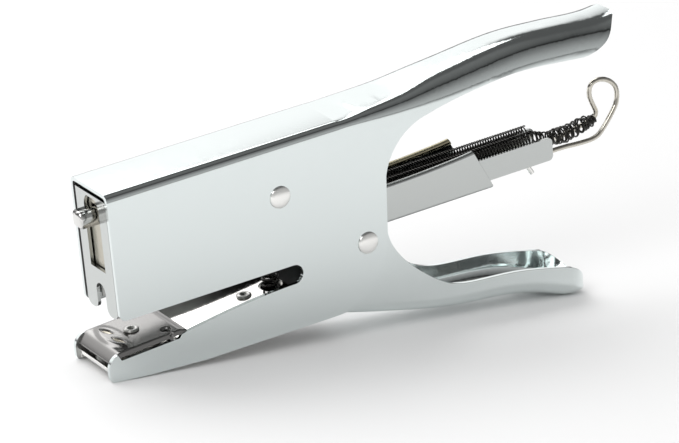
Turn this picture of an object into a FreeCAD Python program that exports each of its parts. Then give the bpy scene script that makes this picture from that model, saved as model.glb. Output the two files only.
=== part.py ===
import FreeCAD, Part
import math
import os

# Plier stapler. Everything is drawn in the jaw frame: the main pivot is the origin, +X runs
# to the handles, +Y is the far side, and +Z is square to the staple magazine. At the end the
# assembly is tipped until it stands on the tip of its lower jaw and of its lower handle.

# Pressed frame
FRAME_HALF = 10.8
SHEET = 1.3
FRAME_IN = FRAME_HALF - SHEET
HEAD_FRONT = -84.0
HEAD_TOP = 40.4
HEAD_CORNER = 2.5
HEAD_END = -7.0
JAW_EDGE = 0.7
NOSE_CORNER = (-87.6, -15.1)
NOSE_RADIUS = 1.7
HEEL_CENTRE = (-12.3, -0.7)
HEEL_RADIUS = 19.3
SLOT_CENTRE = (-25.8, -2.3)
SLOT_RADIUS = 3.0
LEG_DEPTH = 45.0
# stations of the upper handle: x, height of the top, corner radius
UPPER_STATIONS = [(HEAD_END, 40.4, 2.5), (2.0, 40.6, 2.9), (11.0, 41.2, 4.0), (22.0, 42.4, 5.5),
                  (30.0, 43.8, 7.0), (45.0, 45.6, 8.0), (57.0, 46.7, 8.4), (68.0, 46.5, 8.4),
                  (80.0, 45.6, 8.4), (91.0, 44.8, 8.4), (96.0, 45.1, 8.4), (100.0, 45.8, 8.4)]

# Rivets across the frame
PIVOT_R = 2.0
POST_X, POST_Z, POST_R = -28.2, 23.3, 1.8
HEAD_R, HEAD_H = 3.5, 1.1
SPACER_R = 2.6
RUNNING_GAP = 0.06

# Lower jaw
BASE_SLOPE = 0.0769
BASE_SHEET = 1.2
BASE_REAR = -24.4
BASE_FRONT = -88.4
SPRING_X = -28.3
CUP_R, CUP_WALL, CUP_BOTTOM = 3.6, 0.5, -15.0
LIFT_SPRING_R, LIFT_SPRING_WIRE = 2.8, 0.8
SCREW_X = -37.5
ANVIL_RIVET_X = -75.5
HEAD_LIFT = 0.2  # a square head sits this far above the sloping sheet at its middle
ANVIL_HALF = 10.6
CLINCH_X = -81.7
CLINCH_LENGTH, CLINCH_WIDTH, CLINCH_GAP = 7.0, 2.0, 0.9

# Lever: lower handle with its forward arms
LEVER_HALF = 9.1
LEVER_IN = LEVER_HALF - SHEET
WEB_START = -9.0
ARM_FRONT = -77.8
# stations of the lower handle: x, height of the underside, corner radius, half width
LOWER_STATIONS = [(-12.0, -20.4, 3.0, LEVER_HALF), (-3.5, -23.3, 3.3, LEVER_HALF),
                  (12.0, -27.9, 4.2, LEVER_HALF), (23.0, -31.0, 5.0, LEVER_HALF),
                  (34.0, -33.4, 5.7, LEVER_HALF), (46.0, -35.0, 6.0, LEVER_HALF),
                  (55.0, -36.6, 6.0, LEVER_HALF), (64.0, -39.4, 6.0, LEVER_HALF),
                  (70.5, -41.9, 6.0, LEVER_HALF), (75.0, -42.9, 6.0, LEVER_HALF),
                  (78.5, -42.5, 6.0, LEVER_HALF), (81.0, -41.4, 6.0, LEVER_HALF)]
LOWEST_STATION = 9
TIP_X = 80.3
TIP_PLAN_RADIUS = 7.0
BEAK_HALF, BEAK_LOW, BEAK_HIGH = 2.2, 28.6, 33.6
BEAK_TIP = -89.4
BAR_FRONT, BAR_REAR = -76.6, -71.5
BEAK_PIN_X, BEAK_PIN_Z, BEAK_PIN_R = -74.4, 31.1, 1.2

# Magazine
MAG_HALF, MAG_SHEET = 7.4, 0.8
MAG_IN = MAG_HALF - MAG_SHEET
MAG_FRONT, MAG_REAR = -81.2, 47.0
MAG_FLOOR, MAG_TOP = 2.2, 13.4
LIP_RADIUS = 0.9
RAIL_HALF, RAIL_SHEET, RAIL_TOP, RAIL_REAR = 5.5, 0.7, 9.4, 24.0
STRIP_FRONT, STRIP_REAR = -81.1, -35.0
CROWN_TOP, CROWN_WIRE, STAPLE_LEG, STAPLE_HALF = 10.0, 0.5, 6.0, 6.35
PLATE_FRONT, PLATE_SHEET, PLATE_HALF = -83.7, 1.0, 8.8
PLATE_TOP, PLATE_BOTTOM = 37.6, 0.6
BRIDGE_TOP, BRIDGE_LOW = 14.2, 9.6
FLANGE_REAR, FLANGE_TOP, FLANGE_SHEET = -70.0, 9.3, 1.0
BLADE_FRONT, BLADE_SHEET, BLADE_HALF = -82.35, 0.8, 6.3
BLADE_LOW, BLADE_HIGH = 10.2, 35.5
WINDOW_GAP = 0.35

# Loader
LOADER_HALF, LOADER_SHEET = 5.4, 0.8
LOADER_FRONT, LOADER_REAR = 26.0, 71.3
LOADER_LOW, LOADER_HIGH = 3.9, 11.3
ROD_R, ROD_Y, ROD_Z = 0.75, -2.5, 5.45
SHOE_FRONT, SHOE_REAR = -34.6, -27.6
ROW_Y, ROW_Z, ROW_R, ROW_WIRE = 2.35, 12.1, 2.15, 0.6
NEAR_ROW_REAR, FAR_ROW_REAR = 69.0, 64.0
COIL_R, COIL_WIRE, COIL_Y = 2.6, 0.7, 1.2

# Motion
MAG_SWING = 4.2
DRIVE_SWING = 8.05


def vec(x, z, y=0.0):
    return FreeCAD.Vector(x, y, z)


def outline(start, *steps):
    """Closed wire in the side plane from ("line", p), ("arc", middle, end) and ("curve", p, p, ...)."""
    edges = []
    here = start
    for kind, *points in steps:
        if kind == "line":
            edges.append(Part.makeLine(vec(*here), vec(*points[0])))
        elif kind == "arc":
            edges.append(Part.Arc(vec(*here), vec(*points[0]), vec(*points[1])).toShape())
        else:
            curve = Part.BSplineCurve()
            curve.interpolate([vec(*here)] + [vec(*p) for p in points])
            edges.append(curve.toShape())
        here = points[-1]
    if math.dist(here, start) > 1e-6:
        edges.append(Part.makeLine(vec(*here), vec(*start)))
    return Part.Wire(edges)


def slab(wire, y_low, y_high):
    """Solid between two side planes."""
    face = Part.Face(wire)
    face.translate(vec(0, 0, y_low))
    return face.extrude(vec(0, 0, y_high - y_low))


def block(x_low, x_high, half, z_low, z_high):
    return Part.makeBox(x_high - x_low, 2 * half, z_high - z_low, vec(x_low, z_low, -half))


def panel(x_low, x_high, y_low, y_high, z_low, z_high):
    return Part.makeBox(x_high - x_low, y_high - y_low, z_high - z_low, vec(x_low, z_low, y_low))


def rod_y(x, z, radius, y_low, y_high):
    return Part.makeCylinder(radius, y_high - y_low, vec(x, z, y_low), vec(0, 0, 1))


def post_z(x, y, radius, z_low, z_high):
    return Part.makeCylinder(radius, z_high - z_low, vec(x, z_low, y), vec(0, 1))


def around(centre, radius, degrees):
    """Point of a circle in the side plane."""
    angle = math.radians(degrees)
    return (centre[0] + radius * math.cos(angle), centre[1] + radius * math.sin(angle))


def point_along(a, b, distance):
    return a + (b - a).normalize() * distance


def bent_wire(points, bends, radius):
    """Round wire through points, with a tangent arc of the given radius at each inner point."""
    edges = []
    here = points[0]
    for before, corner, after, bend in zip(points, points[1:], points[2:], bends):
        turn = (corner - before).getAngle(after - corner)
        setback = bend * math.tan(turn / 2)
        first = point_along(corner, before, setback)
        last = point_along(corner, after, setback)
        inward = ((first + last) * 0.5 - corner).normalize()
        middle = corner + inward * (bend / math.cos(turn / 2) - bend)
        edges.append(Part.makeLine(here, first))
        edges.append(Part.Arc(first, middle, last).toShape())
        here = last
    edges.append(Part.makeLine(here, points[-1]))
    path = Part.Wire(edges)
    ring = Part.Wire(Part.makeCircle(radius, points[0], points[1] - points[0]))
    return path.makePipeShell([ring], True, False)


def tube(start, end, outer, inner):
    """Hollow cylinder from start to end."""
    along = end - start
    return Part.makeCylinder(outer, along.Length, start, along).cut(
        Part.makeCylinder(inner, along.Length, start, along))


def channel_section(x, crown, corner, half, leg_end):
    """Closed section across the object: a web at crown with two rounded corners, legs to leg_end."""
    side = 1 if crown > leg_end else -1
    spring_z = crown - side * corner
    flat = half - corner
    diagonal = corner * math.sqrt(0.5)
    knee = spring_z + side * diagonal
    near_knee, far_knee = vec(x, knee, -flat - diagonal), vec(x, knee, flat + diagonal)
    edges = [Part.makeLine(vec(x, leg_end, -half), vec(x, spring_z, -half)),
             Part.Arc(vec(x, spring_z, -half), near_knee, vec(x, crown, -flat)).toShape(),
             Part.makeLine(vec(x, crown, -flat), vec(x, crown, flat)),
             Part.Arc(vec(x, crown, flat), far_knee, vec(x, spring_z, half)).toShape(),
             Part.makeLine(vec(x, spring_z, half), vec(x, leg_end, half)),
             Part.makeLine(vec(x, leg_end, half), vec(x, leg_end, -half))]
    return Part.Wire(edges)


def channel_loft(stations, leg_end, inset):
    """Solid through the stations; inset shrinks it to the inside of the sheet."""
    wires = []
    for x, crown, corner, half in stations:
        side = 1 if crown > leg_end else -1
        wires.append(channel_section(x, crown - side * inset, corner - inset, half - inset, leg_end))
    return Part.makeLoft(wires, True, False)


def domed_rivet(x, z, shank):
    """Rivet across the frame with a low dome on each side."""
    sphere_r = (HEAD_R ** 2 + HEAD_H ** 2) / (2 * HEAD_H)
    shape = rod_y(x, z, shank, -FRAME_HALF, FRAME_HALF)
    for side in (-1, 1):
        centre_y = side * (FRAME_HALF + HEAD_H - sphere_r)
        ball = Part.makeSphere(sphere_r, vec(x, z, centre_y))
        low, high = sorted((side * FRAME_HALF, side * (FRAME_HALF + HEAD_H + 1)))
        shape = shape.fuse(ball.common(rod_y(x, z, HEAD_R + 1, low, high)))
    return shape.removeSplitter()


def base_z(x):
    """Height of the base channel's upper face, which lies parallel to the closed magazine."""
    return -9.2 + BASE_SLOPE * (x - SCREW_X)


def frame_shell():
    side = outline(
        (HEAD_FRONT, 3.0), ("line", (HEAD_FRONT, 60.0)), ("line", (97.2, 60.0)),
        ("line", (97.2, 45.0)),
        ("curve", (94.2, 43.1), (90.6, 39.4), (86.4, 37.2), (81.1, 36.3)),
        ("curve", (68.4, 37.6), (57.3, 38.3), (45.3, 37.6), (33.3, 36.1), (24.0, 34.2)),
        ("arc", (12.6, 27.8), (8.2, 19.0)), ("line", around(HEEL_CENTRE, HEEL_RADIUS, 0)),
        ("arc", around(HEEL_CENTRE, HEEL_RADIUS, -45), around(HEEL_CENTRE, HEEL_RADIUS, -90)),
        ("line", (-57.2, -19.5)), ("line", (-76.6, -18.1)),
        ("line", around(NOSE_CORNER, NOSE_RADIUS, -90)),
        ("arc", around(NOSE_CORNER, NOSE_RADIUS, -135), around(NOSE_CORNER, NOSE_RADIUS, 180)),
        ("line", (NOSE_CORNER[0] - NOSE_RADIUS, -12.2)), ("arc", (-88.4, -10.2), (-86.2, -8.6)),
        ("line", (-85.0, -10.7)), ("line", (-65.6, -9.9)), ("line", (-64.6, -8.8)),
        ("curve", (-58.6, -7.9), (-36.0, -5.6), (-28.0, -5.3)),
        ("line", (SLOT_CENTRE[0], SLOT_CENTRE[1] - SLOT_RADIUS)),
        ("arc", (SLOT_CENTRE[0] + SLOT_RADIUS, SLOT_CENTRE[1]), (SLOT_CENTRE[0], JAW_EDGE)),
        ("line", (-82.0, 1.0)), ("arc", (-83.4, 1.6), (HEAD_FRONT, 3.0)))
    legs = HEAD_TOP - 2 * LEG_DEPTH
    head_stations = [(-95.0, HEAD_TOP, HEAD_CORNER, FRAME_HALF),
                     (HEAD_END, HEAD_TOP, HEAD_CORNER, FRAME_HALF)]
    handle_stations = [station + (FRAME_HALF,) for station in UPPER_STATIONS]
    outer = channel_loft(head_stations, legs, 0.0).fuse(channel_loft(handle_stations, legs, 0.0))
    inner = channel_loft(head_stations, legs, SHEET).fuse(channel_loft(handle_stations, legs, SHEET))
    shell = outer.cut(inner).common(slab(side, -FRAME_HALF - 1, FRAME_HALF + 1))
    shell = shell.cut(rod_y(0, 0, PIVOT_R, -12, 12))
    return shell.cut(rod_y(POST_X, POST_Z, POST_R, -12, 12))


def base_channel():
    outer = outline((BASE_REAR, base_z(BASE_REAR)), ("line", (BASE_FRONT, base_z(BASE_FRONT))),
                    ("line", (BASE_FRONT, -15.6)), ("line", (-60.0, -17.2)), ("line", (BASE_REAR, -15.0)))
    under = -BASE_SHEET
    inner = outline((BASE_REAR + 1, base_z(BASE_REAR + 1) + under),
                    ("line", (BASE_FRONT - 1, base_z(BASE_FRONT - 1) + under)),
                    ("line", (BASE_FRONT - 1, -30.0)), ("line", (BASE_REAR + 1, -30.0)))
    shape = slab(outer, -FRAME_IN, FRAME_IN)
    shape = shape.cut(slab(inner, -FRAME_IN + BASE_SHEET, FRAME_IN - BASE_SHEET))
    shape = shape.cut(post_z(SPRING_X, 0, CUP_R, -30, 0))
    shape = shape.cut(post_z(SCREW_X, 0, 1.3, -30, 0))
    return shape.cut(post_z(ANVIL_RIVET_X, 0, 1.2, -30, 0))


def spring_cup():
    rim = base_z(SPRING_X) - 0.6
    cup = post_z(SPRING_X, 0, CUP_R, CUP_BOTTOM, rim)
    return cup.cut(post_z(SPRING_X, 0, CUP_R - CUP_WALL, CUP_BOTTOM + CUP_WALL, rim + 1))


def base_screw():
    seat = base_z(SCREW_X)
    head = post_z(SCREW_X, 0, 2.3, seat + HEAD_LIFT, seat + 0.9)
    head = head.cut(panel(SCREW_X - 3, SCREW_X + 3, -0.3, 0.3, seat + 0.6, 0))
    return post_z(SCREW_X, 0, 1.3, seat - 4.0, seat + 0.3).fuse(head)


def clinch_pocket(side):
    """Leaf-shaped groove across the anvil that curls one staple leg inwards."""
    length = CLINCH_LENGTH
    near = CLINCH_GAP
    mid = near + length / 2
    swell = CLINCH_WIDTH / 2
    tips = [FreeCAD.Vector(CLINCH_X, side * near, 0), FreeCAD.Vector(CLINCH_X, side * (near + length), 0)]
    bellies = [FreeCAD.Vector(CLINCH_X + s * swell, side * mid, 0) for s in (-1, 1)]
    leaf = Part.Wire([Part.Arc(tips[0], bellies[0], tips[1]).toShape(),
                      Part.Arc(tips[1], bellies[1], tips[0]).toShape()])
    face = Part.Face(leaf)
    face.translate(vec(0, anvil_top(CLINCH_X) - 0.75))
    return face.extrude(vec(0, 3.0))


def anvil_top(x):
    """Height of the anvil's working face."""
    return -8.2 + 0.045 * (x - CLINCH_X)


def anvil_plate():
    rear, front = -62.6, -84.8
    cap = outline((rear, anvil_top(rear)), ("line", (front, anvil_top(front))), ("line", (front, -10.69)),
                  ("line", (-65.6, -9.9)), ("line", (-64.55, -8.7)), ("line", (rear, -8.5)))
    hollow = outline((-66.2, anvil_top(-66.2) - 1.1), ("line", (front - 3, anvil_top(front - 3) - 1.1)),
                     ("line", (front - 3, -14.0)), ("line", (-66.2, -14.0)))
    slope = outline((front + 0.5, anvil_top(front)), ("line", (front, anvil_top(front))),
                    ("arc", (-87.2, -9.4), (-88.5, -11.6)), ("line", (-88.5, -12.9)),
                    ("line", (-87.6, -12.9)), ("line", (-87.6, -11.8)),
                    ("arc", (-86.6, -10.3), (front, -9.5)), ("line", (front + 0.5, -9.5)))
    shape = slab(cap, -ANVIL_HALF, ANVIL_HALF).cut(slab(hollow, -9.2, 9.2))
    shape = shape.fuse(slab(slope, -9.2, 9.2))
    for side in (-1, 1):
        shape = shape.cut(clinch_pocket(side))
    shape = shape.cut(post_z(ANVIL_RIVET_X, 0, 1.2, -30, 0))
    keyhole = post_z(-68.0, -5.2, 1.5, -30, 0).fuse(panel(-68.4, -67.6, -12, -5.2, -30, 0))
    return shape.cut(keyhole)


def anvil_rivet():
    top = anvil_top(ANVIL_RIVET_X)
    low = base_z(ANVIL_RIVET_X)
    foot = low - BASE_SHEET - HEAD_LIFT
    shape = post_z(ANVIL_RIVET_X, 0, 1.2, foot - 0.1, top + 0.3)
    shape = shape.fuse(post_z(ANVIL_RIVET_X, 0, 2.3, top + HEAD_LIFT, top + 0.7))
    return shape.fuse(post_z(ANVIL_RIVET_X, 0, 2.0, foot - 0.6, foot))


def front_spacer():
    return tube(vec(POST_X, POST_Z, -FRAME_IN), vec(POST_X, POST_Z, FRAME_IN), SPACER_R, POST_R)


def handle_return_spring():
    coil = tube(vec(POST_X, POST_Z, -4), vec(POST_X, POST_Z, 4), 4.2, 3.0)
    upper = Part.makeCylinder(0.6, math.dist((-29, 26.9), (-62, 38.1)), vec(-29, 26.9, 3.3), vec(-33, 11.2))
    lower = Part.makeCylinder(0.6, math.dist((-29, 19.8), (-74, 25.4)), vec(-29, 19.8, -3.3), vec(-45, 5.6))
    return coil.fuse(upper).fuse(lower)


def magazine_lift_spring():
    return tube(vec(SPRING_X, CUP_BOTTOM + CUP_WALL), vec(SPRING_X, MAG_FLOOR - 0.1),
                LIFT_SPRING_R, LIFT_SPRING_R - LIFT_SPRING_WIRE)


def lower_handle():
    grip = outline(
        (WEB_START, -2.0), ("line", (WEB_START, 15.6)), ("line", (-1.5, 13.2)),
        ("arc", (6.0, 8.6), (8.1, 0.5)),
        ("curve", (9.6, -4.6), (14.9, -12.1), (19.0, -16.1), (24.1, -20.2), (28.4, -22.9)),
        ("curve", (33.0, -24.4), (41.0, -25.6), (52.0, -26.8), (63.0, -29.1), (71.0, -31.2)),
        ("arc", (77.6, -35.2), (TIP_X, -40.4)), ("line", (TIP_X, -60.0)), ("line", (WEB_START, -60.0)))
    arms = outline(
        (WEB_START, 15.6), ("line", (-22.0, 18.6)), ("line", (-33.5, 20.0)),
        ("line", (ARM_FRONT, BEAK_HIGH)),
        ("line", (ARM_FRONT, 26.5)), ("line", (-60.0, 18.0)), ("line", (-30.0, 10.0)), ("line", (-12.0, 3.0)),
        ("line", (WEB_START, -2.0)))
    outer = channel_loft(LOWER_STATIONS, 40.0, 0.0)
    inner = channel_loft(LOWER_STATIONS, 40.0, SHEET)
    inner = inner.common(block(-50, TIP_X - SHEET, 20, -60, 60))
    for side in (-1, 1):
        round_y = side * (LEVER_HALF - TIP_PLAN_RADIUS)
        turn_x = TIP_X - TIP_PLAN_RADIUS
        ending = panel(turn_x, TIP_X + 20, *sorted((round_y, side * 20)), -60, 60)
        outer = outer.cut(ending.cut(post_z(turn_x, round_y, TIP_PLAN_RADIUS, -60, 60)))
        inner = inner.cut(ending.cut(post_z(turn_x, round_y, TIP_PLAN_RADIUS - SHEET, -60, 60)))
    outer = outer.common(block(WEB_START, TIP_X, 20, -60, 60))
    shape = outer.cut(inner).common(slab(grip, -20, 20))
    for low, high in ((-LEVER_HALF, -LEVER_IN), (LEVER_IN, LEVER_HALF)):
        shape = shape.fuse(slab(arms, low, high))
    shape = shape.cut(rod_y(0, 0, PIVOT_R + RUNNING_GAP, -12, 12))
    return shape.cut(rod_y(BEAK_PIN_X, BEAK_PIN_Z, BEAK_PIN_R, -12, 12)).removeSplitter()


def drive_beak():
    bar = block(BAR_FRONT, BAR_REAR, LEVER_IN, BEAK_LOW, BEAK_HIGH)
    middle = (BEAK_LOW + BEAK_HIGH) / 2
    nose = outline((BAR_FRONT + 0.5, BEAK_LOW), ("line", (BEAK_TIP + 2.4, BEAK_LOW)),
                   ("arc", (BEAK_TIP, middle), (BEAK_TIP + 2.4, BEAK_HIGH)),
                   ("line", (BAR_FRONT + 0.5, BEAK_HIGH)))
    shape = bar.fuse(slab(nose, -BEAK_HALF, BEAK_HALF)).removeSplitter()
    return shape.cut(rod_y(BEAK_PIN_X, BEAK_PIN_Z, BEAK_PIN_R, -12, 12))


def beak_pin():
    return rod_y(BEAK_PIN_X, BEAK_PIN_Z, BEAK_PIN_R, -LEVER_HALF - 0.1, LEVER_HALF + 0.1)


def magazine_channel():
    slant = outline((MAG_FRONT, MAG_FLOOR), ("line", (MAG_FRONT, MAG_TOP)), ("line", (12.0, MAG_TOP)),
                    ("curve", (24.0, 13.6), (34.0, 14.2), (41.8, 14.9)),
                    ("line", (MAG_REAR + 0.6, 3.4)), ("line", (MAG_REAR, MAG_FLOOR)))
    body = slab(slant, -MAG_HALF, MAG_HALF)
    body = body.cut(block(MAG_FRONT - 1, MAG_REAR + 9, MAG_IN, MAG_FLOOR + MAG_SHEET, 40))
    for side in (-1, 1):
        crest = outline((MAG_FRONT, MAG_TOP - 0.01), ("line", (MAG_FRONT, MAG_TOP + LIP_RADIUS)),
                        ("line", (12.0, MAG_TOP + LIP_RADIUS)),
                        ("curve", (24.0, 14.5), (34.0, 15.1), (40.6, 15.8)), ("line", (41.9, 14.7)),
                        ("curve", (34.0, 14.0), (24.0, 13.4), (12.0, MAG_TOP - 0.01)))
        low, high = sorted((side * (MAG_HALF - 2 * LIP_RADIUS), side * (MAG_HALF - 0.25)))
        body = body.fuse(slab(crest, low, high))
    body = body.cut(block(MAG_FRONT - 1, -77.0, MAG_IN, 0, MAG_FLOOR + 1))
    return body.removeSplitter()


def magazine_bracket():
    cheek = outline((-13.0, MAG_FLOOR), ("line", (9.0, MAG_FLOOR)), ("line", (5.0, -1.5)),
                    ("arc", (0.0, -4.6), (-4.4, -2.6)), ("line", (-9.0, -3.4)), ("line", (-13.0, -3.4)))
    shape = slab(cheek, -MAG_HALF, MAG_HALF).cut(block(-20, 20, MAG_IN, -20, 20))
    shape = shape.fuse(block(-13.0, -8.0, MAG_HALF, -3.4, -2.4))
    return shape.cut(rod_y(0, 0, PIVOT_R + RUNNING_GAP, -12, 12)).removeSplitter()


def nose_plate():
    rear = PLATE_FRONT + PLATE_SHEET
    plate = block(PLATE_FRONT, rear, PLATE_HALF, PLATE_BOTTOM, PLATE_TOP)
    window = panel(PLATE_FRONT - 1, rear + 1, -4.3, 4.3, BRIDGE_TOP, 33.6)
    arch = Part.makeCylinder(4.3, 3, vec(PLATE_FRONT - 1, 33.0), vec(1, 0)).common(
        panel(PLATE_FRONT - 2, rear + 2, -5, 5, 33.0, 36.6))
    notch = panel(PLATE_FRONT - 1, rear + 1, -2.7, 2.7, PLATE_BOTTOM - 1, BRIDGE_LOW - 2.7)
    crown = Part.makeCylinder(2.7, 3, vec(PLATE_FRONT - 1, BRIDGE_LOW - 2.7), vec(1, 0))
    shape = plate.cut(window).cut(arch).cut(notch).cut(crown)
    for side in (-1, 1):
        for y_corner, y_centre in ((PLATE_HALF, PLATE_HALF - 2.4), (2.7, 2.7 + 2.4)):
            low, high = sorted((side * y_corner, side * y_centre))
            corner = panel(PLATE_FRONT - 1, rear + 1, low, high, PLATE_BOTTOM - 1, PLATE_BOTTOM + 2.4)
            centre = vec(PLATE_FRONT - 1, PLATE_BOTTOM + 2.4, side * y_centre)
            shape = shape.cut(corner.cut(Part.makeCylinder(2.4, 3, centre, vec(1, 0))))
        low, high = sorted((side * MAG_HALF, side * (MAG_HALF + FLANGE_SHEET)))
        shape = shape.fuse(panel(rear - 0.1, FLANGE_REAR, low, high, 1.0, FLANGE_TOP))
    return shape.removeSplitter()


def nose_welds():
    dots = []
    for side in (-1, 1):
        for x in (-78.0, -73.0):
            low, high = sorted((side * (MAG_HALF + FLANGE_SHEET), side * (MAG_HALF + FLANGE_SHEET + 0.4)))
            dots.append(rod_y(x, 5.2, 1.1, low, high))
    return Part.makeCompound(dots)


def staple_rail():
    shape = block(MAG_FRONT + 0.3, RAIL_REAR, RAIL_HALF, MAG_FLOOR + MAG_SHEET, RAIL_TOP)
    return shape.cut(block(MAG_FRONT - 1, RAIL_REAR + 1, RAIL_HALF - RAIL_SHEET, 0, RAIL_TOP - RAIL_SHEET))


def staple_strip():
    shape = block(STRIP_FRONT, STRIP_REAR, STAPLE_HALF, CROWN_TOP - STAPLE_LEG, CROWN_TOP)
    inside = block(STRIP_FRONT - 1, STRIP_REAR + 1, STAPLE_HALF - CROWN_WIRE, 0, CROWN_TOP - CROWN_WIRE)
    return shape.cut(inside)


def driver_blade():
    blade = block(BLADE_FRONT, BLADE_FRONT + BLADE_SHEET, BLADE_HALF, BLADE_LOW, BLADE_HIGH)
    window = block(BLADE_FRONT - 1, BLADE_FRONT + 2, BEAK_HALF + WINDOW_GAP,
                   BEAK_LOW - WINDOW_GAP, BEAK_HIGH + WINDOW_GAP)
    return blade.cut(window)


def loader_channel():
    shape = block(LOADER_FRONT, LOADER_REAR, LOADER_HALF, LOADER_LOW, LOADER_HIGH)
    shape = shape.cut(block(LOADER_FRONT - 1, LOADER_REAR + 1, LOADER_HALF - LOADER_SHEET,
                            LOADER_LOW + LOADER_SHEET, LOADER_HIGH + 1))
    reach = 1.6
    for z_corner, z_centre in ((LOADER_LOW, LOADER_LOW + reach), (LOADER_HIGH, LOADER_HIGH - reach)):
        corner = block(LOADER_REAR - reach, LOADER_REAR, LOADER_HALF, *sorted((z_corner, z_centre)))
        shape = shape.cut(corner.cut(rod_y(LOADER_REAR - reach, z_centre, reach, -9, 9)))
    return shape.removeSplitter()


def staple_pusher():
    """Shoe astride the rail, with a raised tab that the springs bear on."""
    shoe = block(SHOE_FRONT, SHOE_REAR, STAPLE_HALF, 4.2, 10.6)
    shoe = shoe.cut(block(SHOE_FRONT - 1, SHOE_REAR + 1, RAIL_HALF + 0.3, 0, RAIL_TOP + 0.35))
    return shoe.fuse(block(SHOE_REAR - 1.4, SHOE_REAR, 5.0, 10.0, 14.2)).removeSplitter()


def pusher_link():
    """Flat strip above the rail that ties the shoe to the loader channel."""
    link = block(SHOE_REAR - 0.2, LOADER_FRONT + 6, 1.0, RAIL_TOP + 0.35, RAIL_TOP + 0.75)
    foot = block(LOADER_FRONT + 5.4, LOADER_FRONT + 6, 1.0, LOADER_LOW + LOADER_SHEET, RAIL_TOP + 0.75)
    return link.cut(block(SHOE_REAR - 1, SHOE_REAR, 3, 0, 20)).fuse(foot).removeSplitter()


def pull_rod():
    points = [vec(50.0, ROD_Z, ROD_Y), vec(89.6, ROD_Z, ROD_Y), vec(98.0, 13.0, -2.4),
              vec(99.4, 20.2, -1.9), vec(94.6, 24.2, -1.0), vec(88.4, 23.0, -0.2),
              vec(88.7, 17.4, 0.4), vec(92.6, 10.6, COIL_Y), vec(77.0, 7.1, COIL_Y)]
    return bent_wire(points, [3.0, 6.5, 3.6, 3.2, 2.9, 6.0, 1.6], ROD_R)


def rod_pin():
    start = vec(63.0, LOADER_LOW, ROD_Y)
    return Part.makeCylinder(0.8, 4.0, start, vec(0.5, -0.87)).cut(
        block(60, 70, 9, LOADER_LOW, LOADER_LOW + 3))


def pusher_springs():
    rows = []
    for y, rear in ((-ROW_Y, NEAR_ROW_REAR), (ROW_Y, FAR_ROW_REAR)):
        rows.append(tube(vec(SHOE_REAR + 0.1, ROW_Z, y), vec(rear, ROW_Z, y), ROW_R, ROW_R - ROW_WIRE))
    return Part.makeCompound(rows)


def rod_spring():
    return tube(vec(74.6, 6.9, COIL_Y), vec(89.0, 9.9, COIL_Y), COIL_R, COIL_R - COIL_WIRE)


def stand_pitch():
    """Angle that brings the lower jaw's corner and the lower handle's tip to one level."""
    tip_x, tip_z = LOWER_STATIONS[LOWEST_STATION][:2]
    run = NOSE_CORNER[0] - tip_x
    rise = NOSE_CORNER[1] - NOSE_RADIUS - tip_z
    return math.degrees(math.atan2(rise, -run))


NODES = {
    "frame_shell": frame_shell, "base_channel": base_channel, "spring_cup": spring_cup,
    "base_screw": base_screw, "anvil_plate": anvil_plate, "anvil_rivet": anvil_rivet,
    "pivot_rivet": lambda: domed_rivet(0, 0, PIVOT_R),
    "front_rivet": lambda: domed_rivet(POST_X, POST_Z, POST_R),
    "front_spacer": front_spacer, "handle_return_spring": handle_return_spring,
    "magazine_lift_spring": magazine_lift_spring, "lower_handle": lower_handle,
    "drive_beak": drive_beak, "beak_pin": beak_pin, "magazine_channel": magazine_channel,
    "magazine_bracket": magazine_bracket, "nose_plate": nose_plate, "nose_welds": nose_welds,
    "staple_rail": staple_rail, "staple_strip": staple_strip, "driver_blade": driver_blade,
    "loader_channel": loader_channel, "staple_pusher": staple_pusher, "pusher_link": pusher_link,
    "pull_rod": pull_rod, "rod_pin": rod_pin, "pusher_springs": pusher_springs, "rod_spring": rod_spring,
}


def main():
    os.makedirs("parts", exist_ok=True)
    shapes = {name: make() for name, make in NODES.items()}
    pitch = stand_pitch()
    for shape in shapes.values():
        shape.rotate(FreeCAD.Vector(0, 0, 0), FreeCAD.Vector(0, 1, 0), -pitch)
    box = Part.makeCompound(list(shapes.values())).optimalBoundingBox(False)
    shift = FreeCAD.Vector(-(box.XMin + box.XMax) / 2, 0, -box.ZMin)
    for name, shape in shapes.items():
        shape.translate(shift)
        shape.exportStep(f"parts/{name}.step")
        ok = shape.isValid() and all(solid.isClosed() for solid in shape.Solids)
        print(f"{name:22s} solids {len(shape.Solids)} valid {ok} volume {shape.Volume:9.1f} mm3")
    print("size", [round(v, 2) for v in (box.XLength, box.YLength, box.ZLength)], "pitch", round(pitch, 4))
    print("pivot (mm)", round(shift.x, 4), round(shift.z, 4))
    along = math.radians(DRIVE_SWING)
    blade_x = BLADE_FRONT + BLADE_SHEET / 2
    middle = (BEAK_LOW + BEAK_HIGH) / 2
    travel = middle - (middle + blade_x * math.sin(along)) / math.cos(along)
    print("driver travel (mm)", round(travel, 3), "lever swing", MAG_SWING + DRIVE_SWING)


main()
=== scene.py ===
import math
import bmesh
import bpy
from mathutils import Matrix, Vector, noise
from mathutils.kdtree import KDTree


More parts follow.
